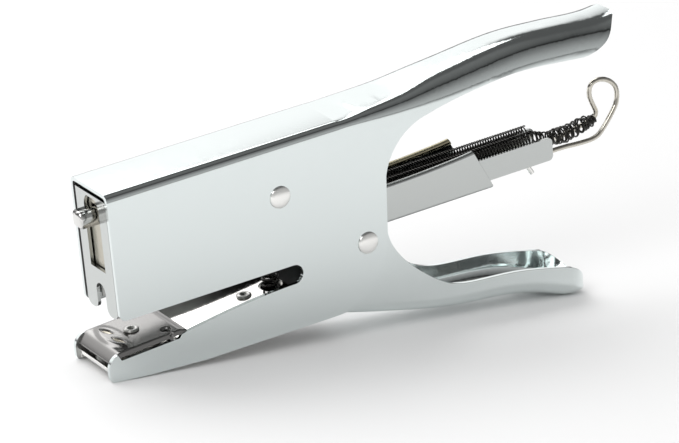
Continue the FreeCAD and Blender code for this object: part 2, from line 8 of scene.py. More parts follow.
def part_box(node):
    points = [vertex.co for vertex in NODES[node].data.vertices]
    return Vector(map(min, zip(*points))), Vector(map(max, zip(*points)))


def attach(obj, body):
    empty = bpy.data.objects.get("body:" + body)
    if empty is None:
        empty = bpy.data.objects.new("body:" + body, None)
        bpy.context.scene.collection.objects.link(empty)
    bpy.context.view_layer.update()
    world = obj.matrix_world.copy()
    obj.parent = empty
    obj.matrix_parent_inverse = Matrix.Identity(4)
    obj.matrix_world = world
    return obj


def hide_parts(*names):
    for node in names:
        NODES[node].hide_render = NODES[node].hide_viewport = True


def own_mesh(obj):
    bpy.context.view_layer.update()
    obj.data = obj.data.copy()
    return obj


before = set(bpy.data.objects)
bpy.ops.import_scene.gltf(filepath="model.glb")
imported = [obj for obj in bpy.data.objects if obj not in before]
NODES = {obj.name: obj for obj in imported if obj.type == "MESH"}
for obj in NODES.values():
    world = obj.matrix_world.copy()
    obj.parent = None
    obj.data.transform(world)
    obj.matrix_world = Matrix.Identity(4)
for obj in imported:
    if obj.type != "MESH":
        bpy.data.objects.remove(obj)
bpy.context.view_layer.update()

# %% [markdown]
# The stapler is already here as a fixed frame of metal parts, and everything below is built
# around it. Its magazine isn't level: the stapler stands on the tip of its lower jaw and the
# tip of its lower handle, so the jaw is pitched. Measuring along the jaw is easier than
# measuring along the table, so the helpers here turn jaw measures, in millimetres from the
# main rivet, into metres in the frame. The rivet's place comes from the part itself.

# %% Jaw measures
MM = 0.001


def middle_of(node):
    """Middle of a part's box."""
    low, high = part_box(node)
    return (low + high) / 2


PIVOT = middle_of("pivot_rivet")
POST = middle_of("front_rivet")
POST_X, POST_Z = -28.2, 23.3
REACH = POST - PIVOT
PITCH = math.atan2(REACH.z, REACH.x) - math.atan2(POST_Z, POST_X)
JAW = Matrix.Translation(PIVOT) @ Matrix.Rotation(-PITCH, 4, "Y") @ Matrix.Scale(MM, 4)
JAW_BACK = JAW.inverted()


def jaw(x, z, y=0.0):
    """A point of the jaw, in millimetres, as a point of the frame, in metres."""
    return JAW @ Vector((x, y, z))


print("pitch", round(math.degrees(PITCH), 3), "pivot", [round(v, 5) for v in PIVOT])

# %% [markdown]
# A long lens from a metre away keeps the stapler's sides almost parallel, as in a catalogue
# view. The angles are measured against the jaw and then turned with it, so the view stays
# the same however the stapler happens to stand. The main rivet stays at one spot of the view.

# %% Camera
VIEW_AZIMUTH, VIEW_ELEVATION, VIEW_ROLL = -30.203, 23.975, -5.138
VIEW_DISTANCE = 1.10857
LENS = 197.2
SIDE_STEP, UP_STEP = -2.70 * MM, 2.97 * MM


def view_axes(azimuth, elevation, roll):
    """Right, up and back of a camera, as unit vectors."""
    a, e, r = (math.radians(v) for v in (azimuth, elevation, roll))
    level = Vector((math.cos(a), math.sin(a), 0))
    back = Vector((math.sin(a) * math.cos(e), -math.cos(a) * math.cos(e), math.sin(e)))
    rise = back.cross(level)
    right = math.cos(r) * level + math.sin(r) * rise
    return right, back.cross(right), back


tip_up = Matrix.Rotation(-PITCH, 3, "Y")
right, up, back = (tip_up @ axis for axis in view_axes(VIEW_AZIMUTH, VIEW_ELEVATION, VIEW_ROLL))
camera_data = bpy.data.cameras.new("camera")
camera_data.lens = LENS
camera_data.sensor_width = 36
camera_data.clip_start = 0.05
camera = bpy.data.objects.new("camera", camera_data)
turn = Matrix((right, up, back)).transposed().to_4x4()
place = PIVOT + back * VIEW_DISTANCE + right * SIDE_STEP + up * UP_STEP
camera.matrix_world = Matrix.Translation(place) @ turn
bpy.context.scene.collection.objects.link(camera)
bpy.context.scene.camera = camera
print("camera at", [round(v, 3) for v in place])

# %% [markdown]
# A few helpers make plain things: an object from a bmesh, a flat card and a soft lamp that only
# stand around the stapler, and a material of one even colour.

# %% Plain shapes and lights


def new_object(name, bm, material=None):
    """Turns a bmesh into an object at the origin, and frees it."""
    mesh = bpy.data.meshes.new(name)
    bm.to_mesh(mesh)
    bm.free()
    if material:
        mesh.materials.append(material)
    made = bpy.data.objects.new(name, mesh)
    bpy.context.scene.collection.objects.link(made)
    return made


def flat_card(name, centre, facing, width, height, material):
    """A plain rectangle that faces a direction and isn't part of the stapler."""
    bm = bmesh.new()
    bmesh.ops.create_grid(bm, x_segments=1, y_segments=1, size=0.5)
    bmesh.ops.scale(bm, vec=(width, height, 1), verts=bm.verts)
    turned = Vector(facing).to_track_quat("Z", "Y").to_matrix().to_4x4()
    bmesh.ops.transform(bm, matrix=Matrix.Translation(Vector(centre)) @ turned, verts=bm.verts)
    card = new_object(name, bm, material)


def plain_material(name, colour, roughness):
    """One even colour, for things that only stand around the stapler."""
    material = bpy.data.materials.new(name)
    material.use_nodes = True
    shader = material.node_tree.nodes["Principled BSDF"]
    shader.inputs["Base Color"].default_value = (*colour, 1)
    shader.inputs["Roughness"].default_value = roughness
    return material


def soft_box(name, place, aim, width, height, power):
    """Rectangular area light that faces a point."""
    data = bpy.data.lights.new(name, "AREA")
    data.shape = "RECTANGLE"
    data.size, data.size_y = width, height
    data.energy = power
    lamp = bpy.data.objects.new(name, data)
    away = Vector(place) - Vector(aim)
    turned = away.to_track_quat("Z", "Y").to_matrix().to_4x4()
    lamp.matrix_world = Matrix.Translation(Vector(place)) @ turned
    bpy.context.scene.collection.objects.link(lamp)


# %% [markdown]
# Plated metal shows what stands around it, so the studio is part of the finish. The back of the
# room is white and gives the bright band along the top of the handles. Overhead it is dark, which
# gives the dark band, and a thin black line parts that from the grey front wall. The pale floor
# fills the flat sides. In the metal, and only there, the floor is a painted reflection: painted
# dimmer far in front, with a painted shadow just in front of the stapler, and dark behind it. What
# isn't metal gets an even light from all round, so the shadow under the stapler stays pale. The
# foot of the back wall is dark, which draws the thin outline along the metal's far edges.

# %% Room, floor and lamps
BACK_WALL = (1.20, 1.19, 1.19, 1)
BACK_EDGE = (0.61, 0.785)
BACK_FOOT = (0.0, 0.27)
FOOT_SHADE = (0.12, 0.12, 0.12, 1)
OVERHEAD = (0.10, 0.10, 0.10, 1)
OVERHEAD_EDGE = (-0.1, 0.15)
FRONT_STOPS = ((0.0, 0.50), (0.35, 0.36), (0.60, 0.21), (0.725, 0.13), (0.742, 0.015),
               (0.762, 0.015), (0.782, 0.06), (0.84, 0.11), (1.0, 0.18))
DOME = 0.66
FLOOR_STOPS = ((0.0, 0.30), (0.5, 0.52), (0.74, 0.93), (0.82, 0.98), (0.97, 0.78), (1.0, 0.93))
FLOOR_END = (0.30, 0.55)
FLOOR_PALE = (0.93, 0.93, 0.93, 1)
FLOOR_BEHIND = (0.15, 0.15, 0.15, 1)
FLOOR_SIZE = 8
bpy.context.scene.view_settings.view_transform = "Standard"


def fade_along(tree, value, low, high):
    """0 at low, 1 at high, and smooth between."""
    fade = tree.nodes.new("ShaderNodeMapRange")
    fade.interpolation_type = "SMOOTHSTEP"
    fade.inputs["From Min"].default_value, fade.inputs["From Max"].default_value = low, high
    tree.links.new(value, fade.inputs["Value"])
    return fade.outputs["Result"]


def mix_colours(tree, factor, first, second):
    """A colour mix; each colour is a socket or four numbers."""
    mix = tree.nodes.new("ShaderNodeMix")
    mix.data_type = "RGBA"
    for slot, source in (("A", first), ("B", second)):
        if isinstance(source, bpy.types.NodeSocket):
            tree.links.new(source, mix.inputs[slot])
        else:
            mix.inputs[slot].default_value = source
    tree.links.new(factor, mix.inputs["Factor"])
    return mix.outputs["Result"]


def split_place(tree, output):
    """X, Y and Z of a place or of a direction."""
    split = tree.nodes.new("ShaderNodeSeparateXYZ")
    tree.links.new(tree.nodes.new("ShaderNodeTexCoord").outputs[output], split.inputs[0])
    return split.outputs


def grey_ramp(tree, value, stops):
    """Greys at given values, and even change between them."""
    ramp = tree.nodes.new("ShaderNodeValToRGB")
    while len(ramp.color_ramp.elements) < len(stops):
        ramp.color_ramp.elements.new(0.5)
    for element, (place, grey) in zip(ramp.color_ramp.elements, stops):
        element.position = place
        element.color = (grey, grey, grey, 1)
    tree.links.new(value, ramp.inputs["Fac"])
    return ramp.outputs["Color"]


world = bpy.data.worlds.new("studio")
world.use_nodes = True
bpy.context.scene.world = world
room = world.node_tree
towards = split_place(room, "Generated")
front = grey_ramp(room, towards["Z"], FRONT_STOPS)
front = mix_colours(room, fade_along(room, towards["Y"], *OVERHEAD_EDGE), front, OVERHEAD)
behind = mix_colours(room, fade_along(room, towards["Z"], *BACK_FOOT), FOOT_SHADE, BACK_WALL)
walls = mix_colours(room, fade_along(room, towards["Y"], *BACK_EDGE), front, behind)
bounced = room.nodes.new("ShaderNodeLightPath").outputs["Is Diffuse Ray"]
walls = mix_colours(room, bounced, walls, (*(DOME,) * 3, 1))
room.links.new(walls, room.nodes["Background"].inputs["Color"])

floor_paint = plain_material("pale_floor", FLOOR_PALE[:3], 0.7)
paper = floor_paint.node_tree
across = split_place(paper, "Object")["Y"]
ahead = fade_along(paper, across, -1.0, 0.0)
ahead.node.interpolation_type = "LINEAR"
# painted reflection: in the metal the floor is painted dimmer far in front, with a painted shadow
# just in front of the stapler, and dark behind it
painted_floor_reflection = grey_ramp(paper, ahead, FLOOR_STOPS)
painted_floor_reflection = mix_colours(paper, fade_along(paper, across, *FLOOR_END), painted_floor_reflection, FLOOR_BEHIND)
in_metal = paper.nodes.new("ShaderNodeLightPath").outputs["Is Glossy Ray"]
paint = mix_colours(paper, in_metal, FLOOR_PALE, painted_floor_reflection)
paper.links.new(paint, paper.nodes["Principled BSDF"].inputs["Base Color"])
flat_card("floor", (0, 0, 0), (0, 0, 1), FLOOR_SIZE, FLOOR_SIZE, floor_paint)
soft_box("back_box", (-0.3, 0.85, 1.2), (0, 0, 0), 1.8, 1.1, 13)
soft_box("left_box", (-0.9, -0.45, 0.7), (0, -0.15, 0), 0.5, 0.5, 3.6)
print("floor and lamps ready")

# %% [markdown]
# The finishes share three effects. Fine drawing lines run along the sheet, left by the mill.
# Handling marks are large soft patches that are a little duller. Plating specks are tiny spots
# of a slightly darker tint. Each effect is a node group that puts out one value, and each metal
# places the groups with its own strength.

# %% Effect groups


def value_group(name, inputs, output):
    """A node group with number inputs, its Object coordinates and one number output."""
    group = bpy.data.node_groups.new(name, "ShaderNodeTree")
    for title, value in inputs.items():
        socket = group.interface.new_socket(title, in_out="INPUT", socket_type="NodeSocketFloat")
        socket.default_value = value
    group.interface.new_socket(output, in_out="OUTPUT", socket_type="NodeSocketFloat")
    ends = group.nodes.new("NodeGroupInput"), group.nodes.new("NodeGroupOutput")
    place = group.nodes.new("ShaderNodeTexCoord").outputs["Object"]
    return group, ends[0], ends[1], place


def add_math(tree, operation, first, second):
    """A Math node; each input is a socket or a number."""
    node = tree.nodes.new("ShaderNodeMath")
    node.operation = operation
    for slot, source in zip(node.inputs, (first, second)):
        if isinstance(source, bpy.types.NodeSocket):
            tree.links.new(source, slot)
        else:
            slot.default_value = source
    return node.outputs[0]


def add_noise(tree, place, scale, detail, stretch=(1, 1, 1), turn=0.0):
    """Noise over the piece, stretched along the jaw when asked."""
    mapping = tree.nodes.new("ShaderNodeMapping")
    mapping.inputs["Scale"].default_value = stretch
    mapping.inputs["Rotation"].default_value = (0, turn, 0)
    noise_node = tree.nodes.new("ShaderNodeTexNoise")
    noise_node.inputs["Scale"].default_value = scale
    noise_node.inputs["Detail"].default_value = detail
    tree.links.new(place, mapping.inputs["Vector"])
    tree.links.new(mapping.outputs["Vector"], noise_node.inputs["Vector"])
    return noise_node.outputs["Fac"]


marks, marks_in, marks_out, where = value_group("handling_marks", {"Strength": 0.1}, "Dulling")
patches = add_noise(marks, where, 38, 3)
prints = add_noise(marks, where, 420, 2)
both = add_math(marks, "MULTIPLY", patches, prints)
swing = add_math(marks, "SUBTRACT", both, 0.25)
dulling = add_math(marks, "MULTIPLY", swing, marks_in.outputs["Strength"])
marks.links.new(dulling, marks_out.inputs[0])

drawn, drawn_in, drawn_out, where = value_group("drawing_lines", {"Strength": 1.0}, "Height")
lines = add_noise(drawn, where, 1500, 2, stretch=(0.03, 1, 1), turn=PITCH)
orange = add_noise(drawn, where, 260, 2)
relief = add_math(drawn, "ADD", lines, add_math(drawn, "MULTIPLY", orange, 0.6))
height = add_math(drawn, "MULTIPLY", relief, drawn_in.outputs["Strength"])
drawn.links.new(height, drawn_out.inputs[0])

specks, specks_in, specks_out, where = value_group("plating_specks", {"Share": 0.6}, "Mask")
grains = add_noise(specks, where, 900, 1)
raised = add_math(specks, "SUBTRACT", grains, specks_in.outputs["Share"])
sharp = add_math(specks, "MULTIPLY", raised, 12)
sharp.node.use_clamp = True
specks.links.new(sharp, specks_out.inputs[0])
print("effect groups:", [group.name for group in bpy.data.node_groups])

# %% [markdown]
# Every metal here is the same recipe with other numbers: a base colour that varies a little from
# patch to patch, a roughness that the handling marks push about, and a very low relief. The
# frame's inside is painted darker the deeper it lies, as painted shade. The
# colour and roughness are driven by the groups, and what is even all over is set on the shader.

# %% Metals


def add_group(tree, group, setting, strength):
    node = tree.nodes.new("ShaderNodeGroup")
    node.node_tree = group
    node.inputs[setting].default_value = strength
    return node.outputs[0]


def metal(name, bright, dull, roughness, dulling=0.25, relief=0.06, metallic=1.0, share=0.62):
    """A metal with patches from bright to dull, handling marks and a fine relief."""
    material = bpy.data.materials.new(name)
    material.use_nodes = True
    tree = material.node_tree
    shader = tree.nodes["Principled BSDF"]
    shader.inputs["Metallic"].default_value = metallic
    tint = tree.nodes.new("ShaderNodeMix")
    tint.data_type = "RGBA"
    tint.inputs["A"].default_value = (*bright, 1)
    tint.inputs["B"].default_value = (*dull, 1)
    tree.links.new(add_group(tree, specks, "Share", share), tint.inputs["Factor"])
    tree.links.new(tint.outputs["Result"], shader.inputs["Base Color"])
    soft = add_math(tree, "ADD", add_group(tree, marks, "Strength", dulling), roughness)
    tree.links.new(soft, shader.inputs["Roughness"])
    bump = tree.nodes.new("ShaderNodeBump")
    bump.inputs["Strength"].default_value = relief
    bump.inputs["Distance"].default_value = 0.05 * MM
    tree.links.new(add_group(tree, drawn, "Strength", 1.0), bump.inputs["Height"])
    tree.links.new(bump.outputs["Normal"], shader.inputs["Normal"])
    return material


def finish_node(material, *names):
    """Gives CAD parts a metal, and smooth shading stays as the part has it."""
    for name in names:
        for slot in NODES[name].material_slots:
            slot.material = material


PLATED = metal("plated_sheet_finish", (0.76, 0.81, 0.805), (0.74, 0.785, 0.78), 0.11, share=0.7)
# painted shade: a duller dark metal for the frame's inside, whose colour is replaced below
INNER_PAINTED_SHADE = metal("inner_face_painted_shade", (0.16, 0.165, 0.165), (0.12, 0.12, 0.12), 0.38)
BRIGHT = metal("bright_sheet_finish", (0.93, 0.925, 0.90), (0.86, 0.855, 0.83), 0.10)
NICKEL = metal("nickel_finish", (0.56, 0.58, 0.57), (0.54, 0.555, 0.545), 0.17,
               dulling=0.15, share=0.7)
RIVET = metal("rivet_finish", (0.98, 0.975, 0.95), (0.95, 0.945, 0.92), 0.26,
              dulling=0.1, share=0.7)
WIRE = metal("nickel_wire_finish", (0.66, 0.63, 0.56), (0.58, 0.55, 0.48), 0.10)
ZINC = metal("zinc_finish", (0.60, 0.60, 0.58), (0.54, 0.54, 0.52), 0.30, dulling=0.3)
ANVIL = metal("anvil_finish", (0.27, 0.266, 0.26), (0.25, 0.246, 0.24), 0.22,
              dulling=0.06, share=0.7)
# painted reflection: a brass tint for the far bead of the magazine
FAR_LIP_REFLECTION = metal("far_lip_painted_reflection", (0.52, 0.47, 0.33), (0.45, 0.40, 0.27), 0.16, dulling=0.1)
SMOOTH = metal("polished_finish", (0.74, 0.735, 0.72), (0.70, 0.695, 0.68), 0.13,
               dulling=0.1, share=0.7)
# the driver blade's own metal, also used as painted shade in the anvil's pockets
BLADE_AND_POCKET_SHADE = metal("blade_finish_and_pocket_shade", (0.50, 0.47, 0.40), (0.40, 0.37, 0.31), 0.25)
STAPLES = metal("staple_finish", (0.72, 0.72, 0.71), (0.6, 0.6, 0.59), 0.28)
BLACK = metal("spring_finish", (0.06, 0.058, 0.055), (0.03, 0.03, 0.03), 0.30, relief=0.1)
# painted shade: the frame's inside goes from mid grey to near black the deeper it lies in the
# throat
PAINTED_SHADE_EDGE = (-0.056, -0.036)
PAINTED_SHADE_LIGHT, PAINTED_SHADE_DARK = (0.50, 0.51, 0.50, 1), (0.05, 0.05, 0.05, 1)
shaded_inside = INNER_PAINTED_SHADE.node_tree
deep = fade_along(shaded_inside, split_place(shaded_inside, "Object")["X"], *PAINTED_SHADE_EDGE)
shade = mix_colours(shaded_inside, deep, PAINTED_SHADE_LIGHT, PAINTED_SHADE_DARK)
shaded_inside.links.new(shade, shaded_inside.nodes["Principled BSDF"].inputs["Base Color"])
finish_node(PLATED, "frame_shell", "lower_handle")
finish_node(BRIGHT, "base_channel")
finish_node(NICKEL, "magazine_channel", "nose_plate", "nose_welds", "loader_channel")
finish_node(RIVET, "pivot_rivet", "front_rivet", "rod_pin")
finish_node(WIRE, "pull_rod")
finish_node(ZINC, "spring_cup", "base_screw", "anvil_rivet", "front_spacer", "beak_pin",
            "magazine_bracket", "staple_rail", "staple_pusher", "pusher_link", "drive_beak")
finish_node(ANVIL, "anvil_plate")
finish_node(BLADE_AND_POCKET_SHADE, "driver_blade")
finish_node(STAPLES, "staple_strip")
finish_node(BLACK, "handle_return_spring", "magazine_lift_spring", "pusher_springs", "rod_spring")
print("metals:", len(bpy.data.materials))

# %% [markdown]
# Sheet metal is never quite sharp: the press leaves each edge slightly round, and that round
# edge catches the light as a thin bright rim. The frame's parts have exact sharp edges, so each
# visible pressing is copied, its loose triangles are merged, its flat faces are joined up, and
# its sharp edges get a small bevel. Its shading is then taken corner by corner from the part,
# so the curved handles mirror the room without ripples. The part itself stays in the frame, hidden.

# %% Softened pressings
SHARP = math.radians(38)
FLAT = math.radians(0.03)
DOUBLE = 0.002 * MM
NORMAL_REACH = 0.45 * MM
NORMAL_TURN = math.radians(14)


def settle(piece, body, *replaced):
    """Lets a finished piece ride on its body, in place of the parts it stands for."""
    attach(piece, body)
    if replaced:
        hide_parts(*replaced)
    print(piece.name, len(piece.data.polygons), "faces on", body)
    return piece


def soften(bm, radius, segments=2, limit=SHARP):
    """Bevels every edge that turns more than the limit."""
    edges = [e for e in bm.edges if len(e.link_faces) == 2 and e.calc_face_angle(0) > limit]
    bmesh.ops.bevel(bm, geom=edges, offset=radius, offset_type="OFFSET", affect="EDGES",
                    segments=segments, profile=0.5, material=-1, clamp_overlap=True)


def even_shading(piece):
    """Smooth faces whose flat neighbours stay flat."""
    piece.data.shade_smooth()
    weigh = piece.modifiers.new("even_shading", "WEIGHTED_NORMAL")
    weigh.keep_sharp = True
    weigh.weight = 90


def exact_shading(piece, node):
    """Shades a softened copy with the exact normals of the part it came from, where they agree."""
    even_shading(piece)
    source, mesh = NODES[node].data, piece.data
    tree = KDTree(len(source.loops))
    for loop in source.loops:
        tree.insert(source.vertices[loop.vertex_index].co, loop.index)
    tree.balance()
    exact = [corner.vector.copy() for corner in source.corner_normals]
    depsgraph = bpy.context.evaluated_depsgraph_get()
    shaded = piece.evaluated_get(depsgraph).data
    wanted = []
    for loop, corner in zip(mesh.loops, shaded.corner_normals):
        normal = corner.vector.copy()
        near = tree.find_range(mesh.vertices[loop.vertex_index].co, NORMAL_REACH)
        fits = [(far, i) for _, i, far in near if exact[i].angle(normal, math.pi) < NORMAL_TURN]
        wanted.append(exact[min(fits)[1]] if fits else normal)
    piece.modifiers.clear()
    mesh.normals_split_custom_set(wanted)


def softened_pressing(node, body, material, radius, hidden_side=None):
    """A copy of a pressing with round edges, and a duller finish with painted shade on its inside.
    """
    bm = bmesh.new()
    bm.from_mesh(NODES[node].data)
    bmesh.ops.remove_doubles(bm, verts=bm.verts, dist=DOUBLE)
    bmesh.ops.dissolve_limit(bm, angle_limit=FLAT, verts=bm.verts, edges=bm.edges)
    soften(bm, radius)
    # painted shade: the inward faces of the side plates get the dark inside material
    if hidden_side:
        for face in bm.faces:
            centre, normal = face.calc_center_median(), face.normal
            if abs(centre.y) < hidden_side and centre.y * normal.y <= 0 and abs(normal.y) > 0.2:
                face.material_index = 1
    piece = new_object(node + "_soft", bm, material)
    if hidden_side:
        piece.data.materials.append(INNER_PAINTED_SHADE)
    exact_shading(piece, node)
    return settle(piece, body, node)


for node, body, material, radius, hidden_side in (
        ("frame_shell", "frame", PLATED, 0.14 * MM, 9.9 * MM),
        ("lower_handle", "lever", PLATED, 0.16 * MM, None),
        ("base_channel", "frame", BRIGHT, 0.12 * MM, None),
        ("nose_plate", "magazine", NICKEL, 0.16 * MM, None),
        ("loader_channel", "loader", NICKEL, 0.14 * MM, None)):
    softened_pressing(node, body, material, radius, hidden_side)

# %% [markdown]
# A coil spring is a small circle of wire carried round an axis while it moves along it. The
# spin operator makes one turn that way: each step turns the circle a little and shifts it by a
# part of the pitch. The turn is then copied along the axis and merged into one closed tube,
# which is far quicker than spinning hundreds of turns.

# %% Straight coil springs
STEPS_PER_TURN = 14
WIRE_SIDES = 6


def coil(bm, start, end, radius, wire, pitch):
    """Adds a helical spring between two points of the jaw; sizes are in millimetres."""
    start, end = jaw(*start), jaw(*end)
    axis = (end - start).normalized()
    side = axis.cross(Vector((0, 1, 0) if abs(axis.y) < 0.9 else (1, 0, 0))).normalized()
    length = (end - start).length - 2 * wire * MM
    turns = round(length / (pitch * MM))
    rise = axis * length / turns
    first = start + axis * wire * MM + side * (radius - wire) * MM
    upright = axis.cross(side).to_track_quat("Z", "Y").to_matrix().to_4x4()
    before = set(bm.verts)
    ring = bmesh.ops.create_circle(bm, cap_ends=False, segments=WIRE_SIDES, radius=wire * MM,
                                   matrix=Matrix.Translation(first) @ upright)["verts"]
    rim = list({e for v in ring for e in v.link_edges})
    bmesh.ops.spin(bm, geom=ring + rim, cent=start, axis=axis, dvec=rise / STEPS_PER_TURN,
                   angle=math.tau, steps=STEPS_PER_TURN, use_merge=False, use_duplicate=False)
    one = [v for v in bm.verts if v not in before]
    faces = list({f for v in one for f in v.link_faces})
    for count in range(1, turns):
        copy = bmesh.ops.duplicate(bm, geom=one + faces)["geom"]
        moved = [g for g in copy if isinstance(g, bmesh.types.BMVert)]
        bmesh.ops.translate(bm, vec=rise * count, verts=moved)
    joined = [v for v in bm.verts if v not in before]
    bmesh.ops.remove_doubles(bm, verts=joined, dist=wire * MM * 0.1)
    bmesh.ops.holes_fill(bm, edges=[e for e in bm.edges if e.is_boundary], sides=WIRE_SIDES)
    return turns


def spring_piece(name, coils, body, node):
    bm = bmesh.new()
    turns = [coil(bm, *one) for one in coils]
    bmesh.ops.recalc_face_normals(bm, faces=bm.faces)
    piece = new_object(name, bm, BLACK)
    piece.data.shade_smooth()
    print(name, "turns", turns)
    return settle(piece, body, node)


SHOE_REAR, ROW_HEIGHT, ROW_RADIUS, ROW_WIRE = -27.4, 12.1, 2.0, 0.22
ROWS = ((-2.35, 66.0, 1.05), (2.35, 67.0, 0.95))
spring_piece("pusher_coils", [((SHOE_REAR, ROW_HEIGHT, y), (rear, ROW_HEIGHT, y), ROW_RADIUS,
                               ROW_WIRE, pitch) for y, rear, pitch in ROWS],
             "loader", "pusher_springs")
CUP_FLOOR, LIFT_TOP, LIFT_SQUEEZE = (-28.3, -14.4), (-28.3, 2.0), 0.87
lift = spring_piece("lift_coil", [((*CUP_FLOOR, 0), (*LIFT_TOP, 0), 2.8, 0.4, 1.9)],
                    "frame", "magazine_lift_spring")
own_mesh(lift)

# %% [markdown]
# The springs' rear end is a mess: the near spring is pulled out into a few loose turns and then
# tangles round the return leg of the wire. No operator tangles a coil, so its centre line is
# worked out point by point and given a round bevel. Smooth noise makes the turns uneven. This
# coil differs a little from run to run.

# %% Loose and tangled coil
TANGLE = ((65.6, 12.1, -2.3, 1.8), (70.0, 11.0, -1.6, 1.4), (74.0, 8.4, 0.4, 2.0),
          (79.0, 7.4, 1.2, 2.5), (85.0, 8.3, 1.2, 2.4), (90.4, 9.2, 1.2, 1.6))
TANGLE_TURNS = (4.0, 2.5, 7.0, 8.0, 7.0)
TANGLE_WIRE = 0.27 * MM
POINTS_PER_TURN = 11
MANY_POINTS = 60
AXIS_SWAY, RADIUS_SWAY, BUNCHING = 0.55, 0.7, 0.45
COLLAR = ((89.4, 9.0, 1.2), (92.3, 9.8, 1.15), 1.45, 0.32, 0.7)


def round_wire(name, points, radius, material):
    """A smooth wire through control points of the frame, as a mesh."""
    curve = bpy.data.curves.new(name, "CURVE")
    curve.dimensions = "3D"
    curve.bevel_depth = radius
    curve.bevel_resolution = 2
    curve.use_fill_caps = True
    spline = curve.splines.new("NURBS")
    spline.points.add(len(points) - 1)
    for slot, point in zip(spline.points, points):
        slot.co = (*point, 1)
    spline.order_u = 3
    spline.use_endpoint_u = True
    spline.resolution_u = 2 if len(points) > MANY_POINTS else 10
    holder = bpy.data.objects.new(name + "_line", curve)
    bpy.context.scene.collection.objects.link(holder)
    bpy.context.view_layer.update()
    depsgraph = bpy.context.evaluated_depsgraph_get()
    mesh = bpy.data.meshes.new_from_object(holder.evaluated_get(depsgraph))
    bpy.data.objects.remove(holder)
    mesh.materials.clear()
    mesh.materials.append(material)
    mesh.shade_smooth()
    made = bpy.data.objects.new(name, mesh)
    bpy.context.scene.collection.objects.link(made)
    return made


def tangled_line():
    """Centre line of the loose coil, with its radius and its axis both unsteady."""
    points, angle = [], 0.0
    for here, there, turns in zip(TANGLE, TANGLE[1:], TANGLE_TURNS):
        steps = round(turns * POINTS_PER_TURN)
        for step in range(steps):
            x, z, y, radius = (a + (b - a) * step / steps for a, b in zip(here, there))
            sway = noise.noise_vector(Vector((angle * 0.16, 3.1, 0))) * AXIS_SWAY
            radius += noise.noise(Vector((angle * 0.21, 0, 7.7))) * RADIUS_SWAY
            x += sway.x + BUNCHING * math.sin(angle * 0.37)
            points.append(jaw(x, z + sway.z + radius * math.sin(angle),
                              y + sway.y + radius * math.cos(angle)))
            angle += math.tau / POINTS_PER_TURN
    return points


settle(round_wire("tangled_coil", tangled_line(), TANGLE_WIRE, BLACK), "loader", "rod_spring")
bm = bmesh.new()
coil(bm, *COLLAR)
bmesh.ops.recalc_face_normals(bm, faces=bm.faces)
collar = new_object("wire_collar", bm, BLACK)
collar.data.shade_smooth()
settle(collar, "loader")

# %% [markdown]
# The pull wire is bent from one round bar: straight inside the loader, round in a drop-shaped
# eye, and back into the coil. A NURBS line through a few corner points gives such easy bends.

# %% Pull wire
WIRE_RADIUS = 0.78 * MM
WIRE_CORNERS = ((50.0, 5.5, -2.5), (76.0, 5.5, -2.5), (82.0, 4.9, -2.5), (89.4, 4.7, -2.5),
                (92.6, 7.4, -2.5), (95.6, 10.8, -2.4), (98.2, 14.1, -2.2), (98.8, 18.5, -1.8),
                (97.0, 21.3, -1.3), (93.4, 23.0, -0.8), (90.1, 22.1, -0.3), (89.4, 18.5, 0.1),
                (91.0, 14.6, 0.6), (92.7, 11.4, 1.0), (91.4, 9.4, 1.2), (85.0, 8.3, 1.2),
                (77.0, 6.9, 1.2))
settle(round_wire("pull_wire", [jaw(*corner) for corner in WIRE_CORNERS], WIRE_RADIUS, WIRE),
       "loader", "pull_rod")

# %% [markdown]
# The anvil is a thin stamped cap. Its top is one sheet pushed up and down by the die: a raised
# patch round the two leaf-shaped pockets that curl the staple's legs, a rolled front, a rear
# edge that dips to the base, and a keyhole. A fine grid moved by a height rule gives all that,
# and a Solidify modifier gives the sheet its thickness.

# %% Anvil cap
CLINCH_X, CAP_REAR, CAP_FRONT, CAP_HALF = -81.7, -62.8, -88.3, 10.0
FLANGE = 1.5
CURL_START = -84.4
LEAF_LENGTH, LEAF_WIDTH, LEAF_MIDDLE, LEAF_DEPTH = 3.1, 1.15, 3.8, 0.8
LEAF_TURN = math.radians(-14)
KEY_X, KEY_Y, KEY_R, KEY_DEPTH = -68.0, -7.0, 1.5, 0.9
CAP_TOP, CAP_SLOPE = -8.2, 0.045
SWAGE_LENGTH, SWAGE_WIDTH, SWAGE_LIFT = 3.4, 9.0, 0.55
DIP_START, DIP_LENGTH, DIP_DEPTH = -65.6, 2.8, 0.8
CURL = 0.19
CAP_SHEET = 0.45 * MM


def ease(value):
    """0 below 0, 1 above 1, smooth between."""
    value = min(max(value, 0.0), 1.0)
    return value * value * (3 - 2 * value)


def cap_height(x, y):
    """Height of the anvil's top at a place of the jaw."""
    z = CAP_TOP + CAP_SLOPE * (x - CLINCH_X)
    swage = math.hypot((x - CLINCH_X) / SWAGE_LENGTH, y / SWAGE_WIDTH)
    z += SWAGE_LIFT * ease((1.15 - swage) / 0.45)
    for side in (-1, 1):
        dx, dy = x - CLINCH_X, y - side * LEAF_MIDDLE
        along = (dy * math.cos(LEAF_TURN) + dx * math.sin(LEAF_TURN)) / LEAF_LENGTH
        across = dx * math.cos(LEAF_TURN) - dy * math.sin(LEAF_TURN)
        if abs(along) < 1:
            half = LEAF_WIDTH * (1 - along * along) + 0.01
            z -= LEAF_DEPTH * ease(2.2 * (1 - abs(across) / half))
    hole = math.hypot(x - KEY_X, y - KEY_Y)
    z -= KEY_DEPTH * ease((KEY_R + 0.2 - hole) / 0.35)
    if y < KEY_Y:
        z -= KEY_DEPTH * ease((0.65 - abs(x - KEY_X)) / 0.3)
    z -= DIP_DEPTH * ease((x - DIP_START) / DIP_LENGTH)
    curl = max(0.0, CURL_START - x)
    return z - CURL * curl * curl


